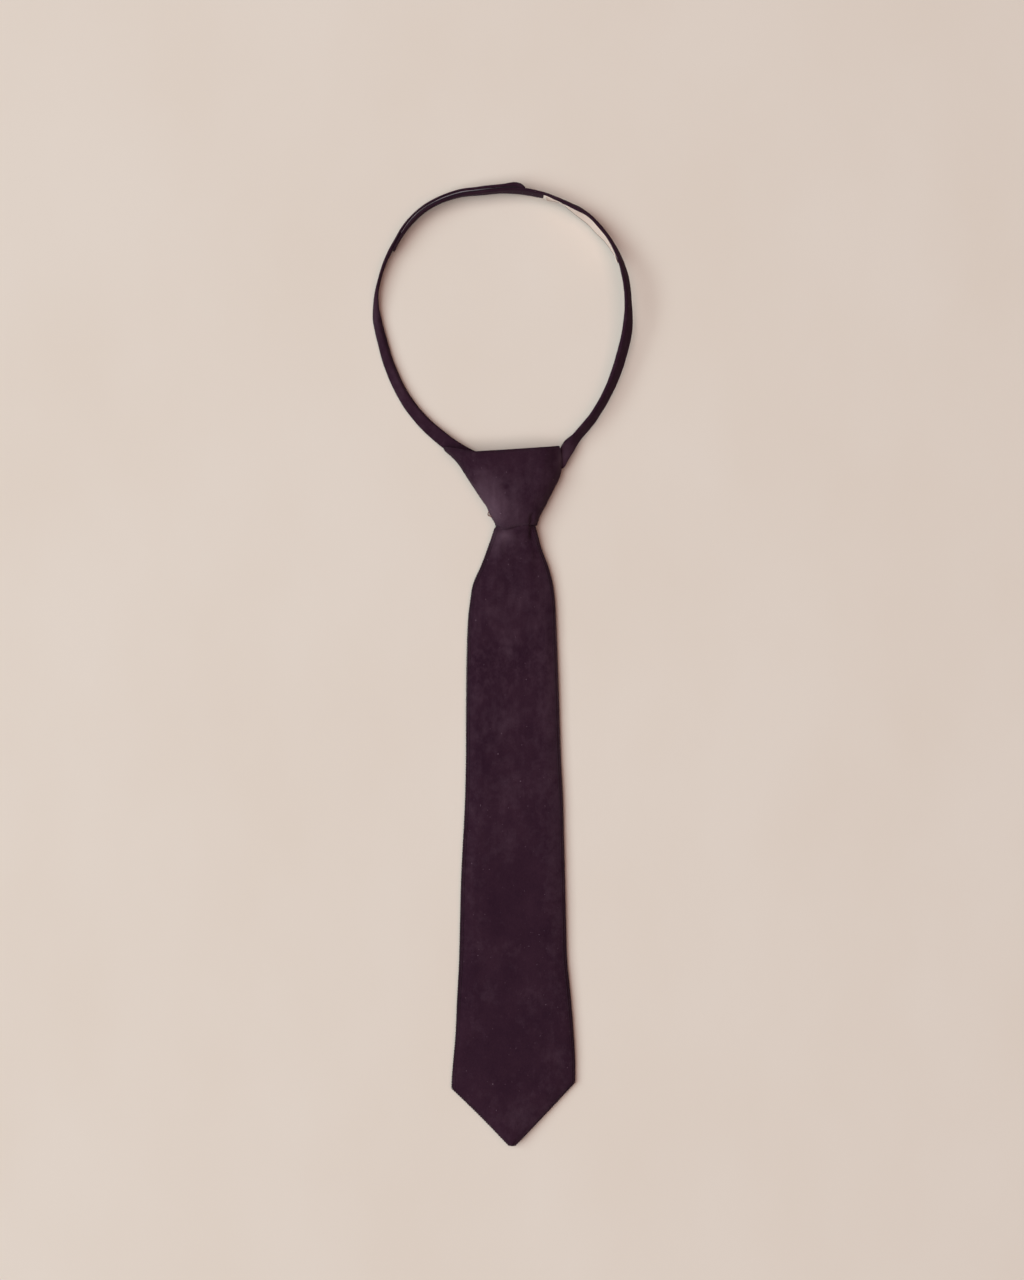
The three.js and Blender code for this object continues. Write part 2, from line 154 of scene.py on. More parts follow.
# Camera: straight above the tie, a metre from the table, where its frame is 512 mm high
CAMERA_HIGH = 1.0
FRAME_HIGH = 0.512
SENSOR = 36.0
eye = bpy.data.cameras.new("camera")
eye.sensor_width = SENSOR
eye.lens = SENSOR * CAMERA_HIGH / FRAME_HIGH
eye.clip_start = 0.01
eye.clip_end = 20.0
camera = bpy.data.objects.new("camera", eye)
camera.location = (3.8 * MM, 9.8 * MM, CAMERA_HIGH)
scene.collection.objects.link(camera)
scene.camera = camera

# Blade: the broad end of the tie, one piece of cotton velvet over a soft interlining, folded
# to the back along both long edges. The two flaps meet in a slip-stitched seam and part above
# the point in a kite, where the woven back of the cloth shows.
blade_rows = [
    # y, left, right, thick, base
    (-168, -20.4, 29, 4.2, 0), (-157.9, -19.75, 28.95, 4.4, 0), (-149.9, -18.95, 28.55, 4.6, 0),
    (-133.9, -18.15, 27.35, 4.7, 0), (-118, -17.35, 25.8, 4.7, 0), (-102, -16.95, 25.35, 4.7, 0),
    (-86, -16.55, 24.95, 4.7, 0), (-70, -15.75, 24.55, 4.7, 0), (-54.1, -14.95, 24.15, 4.7, 0),
    (-38, -14.6, 23.35, 4.7, 0), (-14, -14.55, 22.55, 4.7, 0), (9.8, -14.15, 21.75, 4.7, 0),
    (17.8, -13.75, 21.4, 4.8, 0), (25, -12.95, 21, 4.8, 0), (32.2, -11.7, 20.1, 5, 0),
    (39.3, -8.6, 18.2, 5.4, 0), (46.5, -5.9, 15.5, 6, 0.3), (51.3, -4.2, 14.2, 6.8, 0.9),
    (53.7, -3.4, 13.6, 7.2, 1.3), (54.8, -2.8, 13.4, 7.2, 1.5), (56, -1.2, 12.5, 6.9, 1.8),
    (58, -0.9, 12.2, 6.5, 2.2), (68, -2.4, 13.4, 5.4, 4.2), (78, -4, 14.4, 4.6, 6),
    (84, -4.6, 15, 4.2, 6.4),
]
# The mitred point below the corners: straight edges, a blunt pressed end, and a slight lift
blade_point_rows = [
    (-168, -20.4, 29, 4.2, 0), (-176, -12.69, 20.93, 4.4, 0.35), (-184, -4.97, 12.86, 4.2, 1.15),
    (-190.4, 1.2, 6.4, 3.8, 2.1), (-191.6, 2.4, 5.2, 3, 2.4),
]
# The opening between the flaps: y, half its width, which is at most this share of the blade's
kite_rows = [(-191.6, 0.1), (-178.6, 0.2), (-168, 14.7), (-146, 0.3), (84, 0.3)]
KITE_SHARE = 0.42
# Where the corners lie, how much the rows tilt there, and over what length that fades upwards
CORNER_Y = -168.0
CORNER_SLOPE = 0.05
CORNER_FADES = 30.0
# The gathered end inside the knot, and between what heights the cloth is gathered
BLADE_TOP = 84.0
GATHER_TOP = 60.0
GATHER_END = 36.0
# Radius of the folded edges, the crown's share of the thickness, and how thick the cloth is
BLADE_FOLD = 2.1
BLADE_CROWN = 0.14
VELVET_THICK = 1.0


def smooth_rows(rows, at):
    """Values of a table at any station: each column runs smoothly through its rows."""
    table = np.array(rows, dtype=float)
    places, values = table[:, 0], table[:, 1:]
    secants = np.diff(values, axis=0) / np.diff(places)[:, None]
    slopes = np.zeros_like(values)
    slopes[1:-1] = (secants[1:] + secants[:-1]) / 2
    at = np.clip(np.asarray(at, dtype=float), places[0], places[-1])
    row = np.clip(np.searchsorted(places, at, side="right") - 1, 0, len(places) - 2)
    step = (places[row + 1] - places[row])[:, None]
    p = (at - places[row])[:, None] / step
    start, end = values[row], values[row + 1]
    rise_start, rise_end = slopes[row] * step, slopes[row + 1] * step
    lift = p * p * (3 - 2 * p)
    return start + (end - start) * lift + rise_start * p * (1 - p) ** 2 - rise_end * p * p * (1 - p)


def straight_rows(rows, at):
    """Values of a table at any station, straight from row to row."""
    table = np.array(sorted(rows), dtype=float)
    return np.stack([np.interp(at, table[:, 0], column) for column in table[:, 1:].T], axis=-1)


def even_steps(start, end, step):
    """Evenly spaced stations from one value to another, both ends included."""
    return np.linspace(start, end, math.ceil(abs(end - start) / step) + 1)


def folded_outline(left, right, base, thick, fold, crown, flap_left, flap_right, counts):
    """Cloth seen end on, from the free edge of the right flap, round the front, to the left one."""
    under, bend, over = counts  # steps across each flap, round each fold, and over the front
    edge_high = thick * (1 - crown)
    fold = min(fold, (right - left) / 2.5)
    turn = np.linspace(-math.pi / 2, math.pi / 2, bend + 1)
    out = fold * np.cos(turn)
    up = base + edge_high / 2 * (1 + np.sin(turn))
    across = np.linspace(1, -1, over + 1)
    half = (right - left) / 2 - fold
    middle = (left + right) / 2
    top = base + edge_high + thick * crown * (1 - across ** 4)
    x = np.concatenate([
        np.linspace(flap_right, right - fold, under + 1)[:-1],
        (right - fold + out)[:-1],
        (middle + across * half)[:-1],
        left + fold - out[:0:-1],
        np.linspace(left + fold, flap_left, under + 1),
    ])
    z = np.concatenate([np.full(under, base), up[:-1], top[:-1], up[:0:-1], np.full(under + 1, base)])
    return x, z


def unrolled(x, z, y):
    """Where a row of cloth lay when it was flat: across from its middle, and along."""
    run = np.concatenate([[0], np.cumsum(np.hypot(np.diff(x), np.diff(z)))])
    return np.stack([run - run[-1] / 2, np.full(len(x), y)], axis=1)


def smooth_piece(name, corners, faces):
    """Object with a smooth mesh, from its corners in millimetres."""
    mesh = bpy.data.meshes.new(name)
    mesh.from_pydata((corners * MM).tolist(), [], faces)
    mesh.shade_smooth()
    piece = bpy.data.objects.new(name, mesh)
    scene.collection.objects.link(piece)
    return piece


def sheet_mesh(name, places, flat):
    """Open sheet from a grid of places in millimetres, with the flat cloth as its UV map in metres."""
    rows, columns = places.shape[:2]
    faces = [
        (r * columns + c, r * columns + c + 1, (r + 1) * columns + c + 1, (r + 1) * columns + c)
        for r in range(rows - 1)
        for c in range(columns - 1)
    ]
    piece = smooth_piece(name, places.reshape(-1, 3), faces)
    cloth_map = piece.data.uv_layers.new(name="cloth")
    corner_of = np.empty(len(piece.data.loops), dtype=int)
    piece.data.loops.foreach_get("vertex_index", corner_of)
    cloth_map.data.foreach_set("uv", (flat.reshape(-1, 2)[corner_of] * MM).ravel())
    return piece


def unit(ways):
    """Directions, each brought to a length of one."""
    return ways / np.maximum(np.linalg.norm(ways, axis=-1, keepdims=True), 1e-9)


def grid_normals(places):
    """Outward direction at each place of a sheet's grid."""
    return unit(np.cross(np.gradient(places, axis=1), np.gradient(places, axis=0)))


def soft_noise(places, size, seed):
    """Smooth noise from -1 to 1 at each place; size is how wide its blots are in millimetres."""
    shifted = places.reshape(-1, 3) / size + np.array([seed * 7.3, seed * 3.1, seed * 5.7])
    values = np.array([noise.noise(p) for p in shifted.tolist()])
    return values.reshape(places.shape[:-1])


def creased(places, creases):
    """Height of the cloth's front with its creases: each is a soft groove along a line."""
    height = np.zeros(places.shape[:2])
    for x1, y1, x2, y2, wide, deep in creases:
        start, run = np.array([x1, y1]), np.array([x2 - x1, y2 - y1])
        away = places[:, :, :2] - start
        at = np.clip((away @ run) / (run @ run), 0, 1)
        far = np.linalg.norm(away - at[:, :, None] * run, axis=2)
        height -= deep * np.exp(-(far / wide) ** 2)
    return height


def blade_grid(step_along, counts):
    """Places of the blade's cloth, row by row from its gathered end to the point."""
    point_y = blade_point_rows[-1][0]
    straight = np.concatenate([
        even_steps(BLADE_TOP, GATHER_TOP, step_along)[:-1],
        even_steps(GATHER_TOP, GATHER_END, step_along / 2),
        even_steps(GATHER_END, CORNER_Y, step_along)[1:],
    ])
    point = even_steps(CORNER_Y, point_y, step_along * 0.7)[1:]
    heights = np.concatenate([straight, point])
    values = np.concatenate([smooth_rows(blade_rows, straight), straight_rows(blade_point_rows, point)])
    below = (CORNER_Y - heights) / (CORNER_Y - point_y)
    above = (heights - CORNER_Y) / CORNER_FADES
    slopes = CORNER_SLOPE * np.clip(1 - np.where(below > 0, below, above), 0, 1)
    gaps = straight_rows(kite_rows, heights)[:, 0]
    places, flat = [], []
    for y, slope, gap, (left, right, thick, base) in zip(heights, slopes, gaps, values):
        middle = (left + right) / 2
        gap = min(gap, KITE_SHARE * (right - left))
        x, z = folded_outline(
            left, right, max(base, 0), thick, BLADE_FOLD, BLADE_CROWN,
            middle - gap, middle + gap, counts)
        places.append(np.stack([x, y + slope * (x - middle), z], axis=1))
        flat.append(unrolled(x, z, y))
    return np.array(places), np.array(flat)


# Creases where the blade is gathered into the knot: two ends of each, its width and its depth
blade_creases = [
    (11.8, 57.5, 11.9, 50.8, 0.8, 1.5), (11.9, 50, 14.2, 38, 1.4, 0.25),
    (6.6, 52, 7.4, 43, 1.2, 0.25), (2, 51, 1, 44, 1.1, 0.25),
    (-1.6, 51, -4.4, 41, 1.1, 0.2), (-0.6, 52.8, 5, 53.9, 0.8, 0.8),
    (6.6, 54.5, 10.4, 54.7, 1.1, -0.7), (-2.4, 54.2, -1.8, 54, 0.8, -0.4),
]
blade_places, blade_flat = blade_grid(step_along=2.0, counts=(10, 5, 22))
# Only the front has waves and creases: it fades in over this height above each row's middle
BLADE_FRONT_FADES = 0.8
blade_heights = blade_places[:, :, 2]
blade_front = (blade_heights - blade_heights.mean(axis=1, keepdims=True)) / BLADE_FRONT_FADES
blade_front = np.clip(blade_front, 0, 1)
blade_waves = 0.16 * soft_noise(blade_places, 17.0, 1) + 0.08 * soft_noise(blade_places, 7.0, 2)
blade_waves += creased(blade_places, blade_creases)
blade_places += grid_normals(blade_places) * (blade_waves * blade_front)[:, :, None]
blade = sheet_mesh("blade_velvet", blade_places, blade_flat)

# The cloth is puffed up a little over its interlining by a short cloth simulation, and no point
# of it may move further than the cap. The back, which lies below a height, and the ends are held.
PUFF_PRESSURE = 1.5
PUFF_CAP = 0.7
PUFF_MOMENTS = 20
BACK_BELOW = 0.6
CLOTH_LOWEST = 0.05


def puff(piece, held):
    """Blows a sheet up softly by cloth simulation; held are the points that keep their place."""
    group = piece.vertex_groups.new(name="held")
    group.add(held.tolist(), 1.0, "REPLACE")
    before = np.array([v.co[:] for v in piece.data.vertices])
    cloth = piece.modifiers.new("Cloth", "CLOTH")
    cloth.settings.quality = 5
    cloth.settings.mass = 0.2
    cloth.settings.tension_stiffness = 20
    cloth.settings.compression_stiffness = 20
    cloth.settings.bending_stiffness = 0.4
    cloth.settings.use_pressure = True
    cloth.settings.uniform_pressure_force = PUFF_PRESSURE
    cloth.settings.vertex_group_mass = "held"
    cloth.settings.effector_weights.gravity = 0
    cloth.collision_settings.use_collision = False
    cloth.point_cache.frame_start = 1
    cloth.point_cache.frame_end = PUFF_MOMENTS
    for moment in range(PUFF_MOMENTS):
        scene.frame_set(moment + 1)
    shown = piece.evaluated_get(bpy.context.evaluated_depsgraph_get())
    after = np.array([v.co[:] for v in shown.data.vertices])
    piece.modifiers.remove(cloth)
    piece.vertex_groups.remove(group)
    scene.frame_set(1)
    moved = after - before
    far = np.linalg.norm(moved, axis=1)
    moved *= np.minimum(1, PUFF_CAP * MM / np.maximum(far, 1e-9))[:, None]
    final = before + moved
    final[:, 2] = np.maximum(final[:, 2], np.minimum(before[:, 2], CLOTH_LOWEST * MM))
    piece.data.vertices.foreach_set("co", final.ravel())
    piece.data.update()


spots = blade_places.reshape(-1, 3)
columns = blade_places.shape[1]
order = np.arange(len(spots))
ends = (order < columns) | (order >= len(spots) - 2 * columns)
puff(blade, order[(spots[:, 2] < BACK_BELOW) | ends])


def finish_cloth(piece, thick, refine=True, even=True):
    """Refines a sheet and gives it its thickness inwards, with softly rounded cut edges."""
    bpy.context.view_layer.objects.active = piece
    piece.select_set(True)
    if refine:
        fine = piece.modifiers.new("Refine", "SUBSURF")
        fine.levels = fine.render_levels = 1
    wall = piece.modifiers.new("Wall", "SOLIDIFY")
    wall.thickness = thick * MM
    wall.offset = -1.0
    wall.use_even_offset = even
    wall.material_offset = 1
    edge = piece.modifiers.new("Soft_edge", "BEVEL")
    edge.width = 0.22 * thick * MM
    edge.segments = 2
    edge.limit_method = "ANGLE"
    edge.angle_limit = math.radians(55)
    for name in [m.name for m in piece.modifiers]:
        bpy.ops.object.modifier_apply(modifier=name)
    piece.select_set(False)


finish_cloth(blade, VELVET_THICK)


def lay_of_pile_and_light(piece, patches, all_over=0.0):
    """Stores how pale the pile is at each point, from crushing and from painted light: 0 stands up and
    looks dark, 1 is palest.
    """
    mesh = piece.data
    spots = np.array([v.co[:] for v in mesh.vertices]) / MM
    pile = np.full(len(spots), all_over)
    for x, y, wide, high, amount in patches:
        pile += amount * np.exp(-((spots[:, 0] - x) / wide) ** 2 - ((spots[:, 1] - y) / high) ** 2)
    values = mesh.attributes.new("crush_and_light", "FLOAT", "POINT")
    values.data.foreach_set("value", pile)


# Places where the pile is pressed down, or brushed up darker: x, y, half width and height, amount
blade_pile = [
    (21.5, -40, 6, 110, 0.3), (-13, -40, 5, 110, 0.1), (3, -100, 14, 25, -0.08),
    (-0.5, 51, 5, 4, 0.85), (1.2, 51.4, 1.6, 1.2, 0.4), (-3, 46, 3, 4, 0.25),
    (5, 47, 10, 8, 0.12), (2.6, 7, 3, 6, 0.33), (7, 26, 6, 6, 0.2),
    (-3.8, 21, 5, 5, 0.2), (-0.5, -23.5, 6.5, 6.5, 0.3), (2.6, -48.5, 5, 8, 0.27),
    (0.6, -72, 5, 7, 0.25), (-10.2, -112, 3, 3, 0.3), (2.6, -114, 5, 5, 0.2),
    (-5.8, -130.6, 4, 4, 0.22), (9, -181, 7, 7, 0.3), (11, -82, 3.6, 4.2, -0.5),
    (9, -103.4, 3.4, 4, -0.45), (3, -130, 30, 35, -0.07), (12, -133, 5, 7, 0.24),
    (-9, -148, 4, 7, 0.22), (21, -157, 4, 6, 0.2), (4, 15, 30, 30, 0.06),
    (-5.8, -154, 8, 9, -0.35), (13, -96, 7, 20, -0.1), (20, -140, 6, 16, -0.1),
]
lay_of_pile_and_light(blade, blade_pile)

# Cotton velvet: a dense short pile that soaks up light. It gives the eye a deep matt plum black,
# cloudy where the pile leans one way or another, with a soft light rim where it turns away, and
# paler smudges where it has been crushed and where painted highlights stand for light on it.
VELVET_DEEP = "#281421"
VELVET_MID = "#341e2a"
VELVET_CRUSH_AND_LIGHT = "#59434f"
VELVET_LINT = "#6b5561"
velvet = new_material("cotton_velvet", {
    "Roughness": 0.95,
    "Specular IOR Level": 0.05,
    "Sheen Weight": 0.08,
    "Sheen Roughness": 0.5,
    "Sheen Tint": tone("#c8a9bd"),
})
# Clouds a finger's breadth wide where the pile leans together, with its tufts of about 1 mm
clouds = stretched_noise(velvet, (13, 17, 13), 5.0, 0.62)
tufts = stretched_noise(velvet, (0.8, 0.95, 0.8), 2.0, 0.6)
lay = add_node(velvet, "Math", {0: tufts, 1: 0.35, 2: clouds}, operation="MULTIPLY_ADD").outputs[0]
velvet_colour = blend_tones(velvet, lay, tone(VELVET_DEEP), tone(VELVET_MID), 0.44, 0.92)
# Paler where the stored attribute holds crushed pile and painted highlights, in blotches of 3 to 4 mm
crush_and_light = add_node(velvet, "Attribute", attribute_name="crush_and_light").outputs["Fac"]
blotch = stretched_noise(velvet, (3.2, 4.0, 3.2), 4.0, 0.65)
pale = add_node(velvet, "Math", {0: crush_and_light, 1: 0.84, 2: blotch}, operation="MULTIPLY_ADD").outputs[0]
velvet_colour = blend_tones(velvet, pale, velvet_colour, tone(VELVET_CRUSH_AND_LIGHT), 0.5, 2.2)
# Rare pale flecks of dust, and the short nap in the bump
flecks = stretched_noise(velvet, (0.7, 0.9, 0.7), 0.0)
velvet_colour = blend_tones(velvet, flecks, velvet_colour, tone(VELVET_LINT), 0.82, 0.95)
nap = stretched_noise(velvet, (0.35, 0.5, 0.35), 2.0)
finish_surface(velvet, velvet_colour, height=nap, strength=0.4, deep=0.25)

# Woven ground of the velvet: the plain cotton back of the cloth, dull, its threads 0.5 mm apart
velvet_ground = new_material("velvet_ground_weave", {"Roughness": 0.9, "Specular IOR Level": 0.2})
threads = stretched_noise(velvet_ground, (0.5, 0.5, 0.5), 1.0)
finish_surface(velvet_ground, blend_tones(velvet_ground, threads, tone("#241820"), tone("#37272f")))


def stand_for(piece, node, slot_name, *materials):
    """Gives a piece its materials, hangs it on the root body, and hides the CAD node that it stands for.
    """
    for material in materials:
        piece.data.materials.append(material)
    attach(piece, "root")
    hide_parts(node)


stand_for(blade, "blade", "black_velvet", velvet, velvet_ground)

# Pile fringe: tufts of the velvet's pile that stand out from the folded edges, so that the
# outline is soft. Along the blade they follow the ribs of the weave, a millimetre apart.
PILE_RIB = 1.04
PILE_DEEP = 0.12


def trimming(name, corners, faces, material):
    """Piece that goes with a sheet of cloth; none of its corners lies below the table."""
    corners[:, 2] = np.maximum(corners[:, 2], 0)
    piece = smooth_piece(name, corners, faces)
    piece.data.materials.append(material)
    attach(piece, "root")
    return piece


def pile_tufts(name, edge, length, wide, seed):
    """One mesh of small pointed tufts, one at each place of an edge, leaning a little at random."""
    rng = np.random.default_rng(seed)
    roots, outward, along = edge[:, :3], edge[:, 3:6], edge[:, 6:9]
    count = len(roots)
    lean = rng.normal(0, 0.35, (count, 3))
    tips = unit(outward + lean * 0.6)
    side = unit(np.cross(outward, along))
    along = np.cross(side, outward)
    length = np.broadcast_to(length, count)[:, None] * rng.uniform(0.65, 1.2, (count, 1))
    foot = roots - outward * PILE_DEEP
    corners = np.stack([
        foot + along * wide * 0.6,
        foot - along * wide * 0.3 + side * wide * 0.52,
        foot - along * wide * 0.3 - side * wide * 0.52,
        roots + tips * length,
    ], axis=1).reshape(-1, 3)
    tuft_faces = np.array([(0, 1, 3), (1, 2, 3), (2, 0, 3), (2, 1, 0)])
    faces = (4 * np.arange(count)[:, None, None] + tuft_faces).reshape(-1, 3).tolist()
    return trimming(name, corners, faces, velvet)


def fringe_along(places, columns, step, seed):
    """Roots, outward and along directions at even steps down the chosen columns of a sheet's grid."""
    normals = grid_normals(places)
    rng = np.random.default_rng(seed)
    found = []
    for column in columns:
        whole = math.floor(column)
        after = min(whole + 1, places.shape[1] - 1)
        part = column - whole
        line = places[:, whole] * (1 - part) + places[:, after] * part
        facing = normals[:, whole] * (1 - part) + normals[:, after] * part
        run = np.concatenate([[0], np.cumsum(np.linalg.norm(np.diff(line, axis=0), axis=1))])
        at = np.arange(0, run[-1], step) + rng.uniform(-0.3, 0.3) * step
        root = np.stack([np.interp(at, run, side) for side in line.T], axis=1)
        out = unit(np.stack([np.interp(at, run, side) for side in facing.T], axis=1))
        ahead = unit(np.gradient(root, axis=0))
        found.append(np.concatenate([root, out, ahead, at[:, None]], axis=1))
    return np.concatenate(found)


# The fringe stands on both folded edges, down from where the blade comes out of the knot
BLADE_OUT_Y = 56.0
blade_edge_columns = [10.6, 11.4, 12.0, 12.5, 13.0, 13.6, 14.4]
blade_edge_columns += [blade_places.shape[1] - 1 - c for c in blade_edge_columns]
outside = blade_places[:, :, 1].min(axis=1) < BLADE_OUT_Y
blade_edge = fringe_along(blade_places[outside], blade_edge_columns, step=PILE_RIB / 4, seed=5)
ribbed = 0.24 + 0.12 * np.cos(2 * math.pi * blade_edge[:, 9] / PILE_RIB)
blade_fringe = pile_tufts("blade_pile_fringe", blade_edge, length=ribbed, wide=0.26, seed=6)
lay_of_pile_and_light(blade_fringe, blade_pile, all_over=0.4)

# Seam of the blade: slip stitches that draw the two back flaps together from the knot down to
# the kite, and a bar tack that keeps the kite from opening further. Black polyester thread.
STITCH_STEP = 4.5
THREAD_ROUND = 0.13


def thread_mesh(name, paths, material, rounding=THREAD_ROUND, sides=5):
    """One mesh of thin closed tubes, one along each path of places in millimetres."""
    corners, faces = [], []
    for path in paths:
        path = np.asarray(path, dtype=float)
        ahead = unit(np.gradient(path, axis=0))
        helper = (0, 0, 1) if abs(ahead[:, 2]).max() < 0.9 else (0.3, 1, 0.1)
        side = unit(np.cross(ahead, helper))
        over = np.cross(side, ahead)
        turn = np.linspace(0, 2 * math.pi, sides, endpoint=False)
        ring = side[:, None] * np.cos(turn)[None, :, None] + over[:, None] * np.sin(turn)[None, :, None]
        first = len(corners)
        corners.extend((path[:, None] + ring * rounding).reshape(-1, 3).tolist())
        for row in range(len(path) - 1):
            for k in range(sides):
                a, b = first + row * sides + k, first + row * sides + (k + 1) % sides
                faces.append((a, a + sides, b + sides, b))
        last = first + (len(path) - 1) * sides
        faces += [tuple(range(first, first + sides)), tuple(range(last, last + sides))[::-1]]
    return trimming(name, np.array(corners), faces, material)


# Spun polyester thread: black, with the slight gloss of a twisted filament
black_thread = new_material("black_polyester_thread", {
    "Base Color": tone("#2f232b"), "Roughness": 0.5, "Specular IOR Level": 0.4})

# Slanting slip stitches between these heights, then eight passes of thread side by side
SEAM_LOW = -144.0
SEAM_HIGH = 44.0
TACK_Y = -146.4
TACK_STEP = 0.28
seam_y = np.arange(SEAM_LOW, SEAM_HIGH, STITCH_STEP)
seam_paths = []
for y, (left, right, _, base) in zip(seam_y, smooth_rows(blade_rows, seam_y)):
    middle, height = (left + right) / 2, max(base, 0) + 0.12
    seam_paths.append([(middle + x, y + 0.5 * x, height) for x in (-0.8, -0.4, 0.0, 0.4, 0.8)])
tack_left, tack_right = smooth_rows(blade_rows, [-145.5])[0, :2]
tack_middle = (tack_left + tack_right) / 2
for y in TACK_Y + TACK_STEP * np.arange(8):
    seam_paths.append([(tack_middle + x, y, 0.07 - 0.002 * x * x) for x in (-2.4, -1.2, 0.0, 1.2, 2.4)])
blade_stitches = thread_mesh("blade_seam_stitches", seam_paths, black_thread)

# Lint: a few short pale cotton fibres caught in the pile on the front of the blade. They give
# the eye a light fleck here and there, and lie curled on the tips of the pile.
LINT_HALF = 0.45
LINT_LIFT = 0.12
lint_spots = [
    # x, y, which way the fibre lies
    (7.4, -40.2, 0.4), (5.8, -69, 1.2), (13, -55, 2), (-3, -24.2, 0.9), (1.4, -23, 2.6),
    (8.6, -174.6, 0.3), (-6.2, -175, 1.7), (-3.8, -159, 2.3), (11.8, -152.6, 0.8), (-8, -92, 1.4),
]
lint_grey = new_material("cotton_lint", {"Base Color": tone("#9c8a92"), "Roughness": 0.9})
front_places = blade_places[:, 12:-12].reshape(-1, 3)
lint_reach = np.linspace(-LINT_HALF, LINT_HALF, 5)
lint_paths = []
for x, y, turn in lint_spots:
    nearest = np.argmin(np.hypot(front_places[:, 0] - x, front_places[:, 1] - y))
    lint_paths.append(np.stack([
        x + lint_reach * math.cos(turn) + 0.5 * lint_reach ** 2,
        y + lint_reach * math.sin(turn) - 0.4 * lint_reach ** 2,
        front_places[nearest, 2] + LINT_LIFT + 0.1 * np.cos(3 * lint_reach),
    ], axis=1))
lint = thread_mesh("lint_fibres", lint_paths, lint_grey, rounding=0.08, sides=4)

# Knot wrap: a strip of the same velvet wound once round the blade and the band, wide at the top,
# its ends lapped at the back and stitched together there.
knot_rows = [
    # y, left, right, thick
    (55.4, -2.7, 13.8, 10.3), (58.3, -4.1, 14.5, 10.6), (60.7, -5.35, 15.6, 10.9),
    (63.1, -6.3, 16.9, 11.2), (65.5, -8.1, 18.15, 11.4), (70.2, -11.3, 20.5, 11.7),
    (75, -14.5, 22.8, 12.1), (79.8, -17.8, 23.5, 12.4), (82.2, -20.1, 23.5, 12.6),
    (85.6, -23.4, 23.5, 12.8),
]
# The turned rim along the top of the knot: how high it runs at each place across. On the right
# it turns down, where the strap comes out under it.
knot_rim = [
    (-23.4, 86.3), (-19.5, 85.9), (-11.6, 84.3), (-0.9, 84.9), (10.9, 85.7), (18, 86.3),
    (22.2, 86.9), (22.7, 86.5), (23.1, 84), (23.35, 78.6), (23.5, 77.4), (26, 77.2),
]
# The lower lip dips below its straight cut on the left: how far, at each place across
knot_lip = [(-2.7, 0.2), (-1.6, 0.9), (-0.6, 1.9), (2, 1.5), (5, 0.7), (8, 0.2), (14, 0)]
# The upper right corner lies pressed down to the strap: how high it can be, at each place across
knot_corner = [(12, 13), (16, 11.8), (19, 10.2), (21.5, 8.4), (23, 7.1), (23.5, 6.6)]
# Creases on its front, and the fold that runs down into the blade on the right
knot_creases = [
    (11.9, 59, 11.8, 54.4, 0.8, 1), (-0.4, 71.8, 2.6, 71, 0.7, 0.25),
    (0.2, 69.6, 3, 69, 0.7, 0.25), (7, 71.5, 7.6, 65.5, 0.6, 0.2),
    (7.6, 61, 7.7, 58.6, 0.5, 0.25), (-8, 74.5, -1, 66.5, 1, 0.2),
    (-16, 81, -4, 62.5, 1.6, -0.25), (12, 80, 14.4, 64, 1.8, 0.2),
    (17.5, 84, 12.6, 66, 1.4, -0.2),
]
# Where its rim and its lower lip lie along the tie, and how far up the dip of the lip reaches
KNOT_TOP = 85.6
KNOT_LIP = 55.4
DIP_REACH = 6.0
# How high its sides are widest, how far its feet curve in below that, and how square its dome is
KNOT_LOW = 3.4
KNOT_FOOT = 2.4
KNOT_DOME = 2.8
# Thickness of the cloth, half the width of the lap behind, the gap in it, and the rim's roll outwards
KNOT_WALL = 0.8
KNOT_LAP = 3.0
LAP_GAP = 0.05
KNOT_ROLL = 0.35
# The corner is pressed down from this height upwards, and fully so this much further up
PRESS_FROM = 71.0
PRESS_OVER = 8.0


def domed_outline(left, right, thick, flap_left, flap_right, counts):
    """Knot seen end on, from flap to flap: flat behind, round feet, widest low down, domed in front."""
    under, bend, over = counts
    middle, half = (left + right) / 2, (right - left) / 2
    turn = np.linspace(-math.pi / 2, 0, bend + 1)
    foot_out = half - KNOT_FOOT + KNOT_FOOT * np.cos(turn)
    foot_up = KNOT_LOW * (1 + np.sin(turn))
    arch = np.linspace(0, math.pi, over + 1)
    across = np.sign(np.cos(arch)) * np.abs(np.cos(arch)) ** (2 / KNOT_DOME)
    rise = np.sin(arch).clip(0) ** (2 / KNOT_DOME)
    x = np.concatenate([
        np.linspace(flap_right, right - KNOT_FOOT, under + 1)[:-1],
        middle + foot_out[:-1],
        middle + half * across[:-1],
        middle - foot_out[:0:-1],
        np.linspace(left + KNOT_FOOT, flap_left, under + 1),
    ])
    z = np.concatenate([
        np.zeros(under), foot_up[:-1], (KNOT_LOW + (thick - KNOT_LOW) * rise)[:-1], foot_up[:0:-1],
        np.zeros(under + 1),
    ])
    return x, z


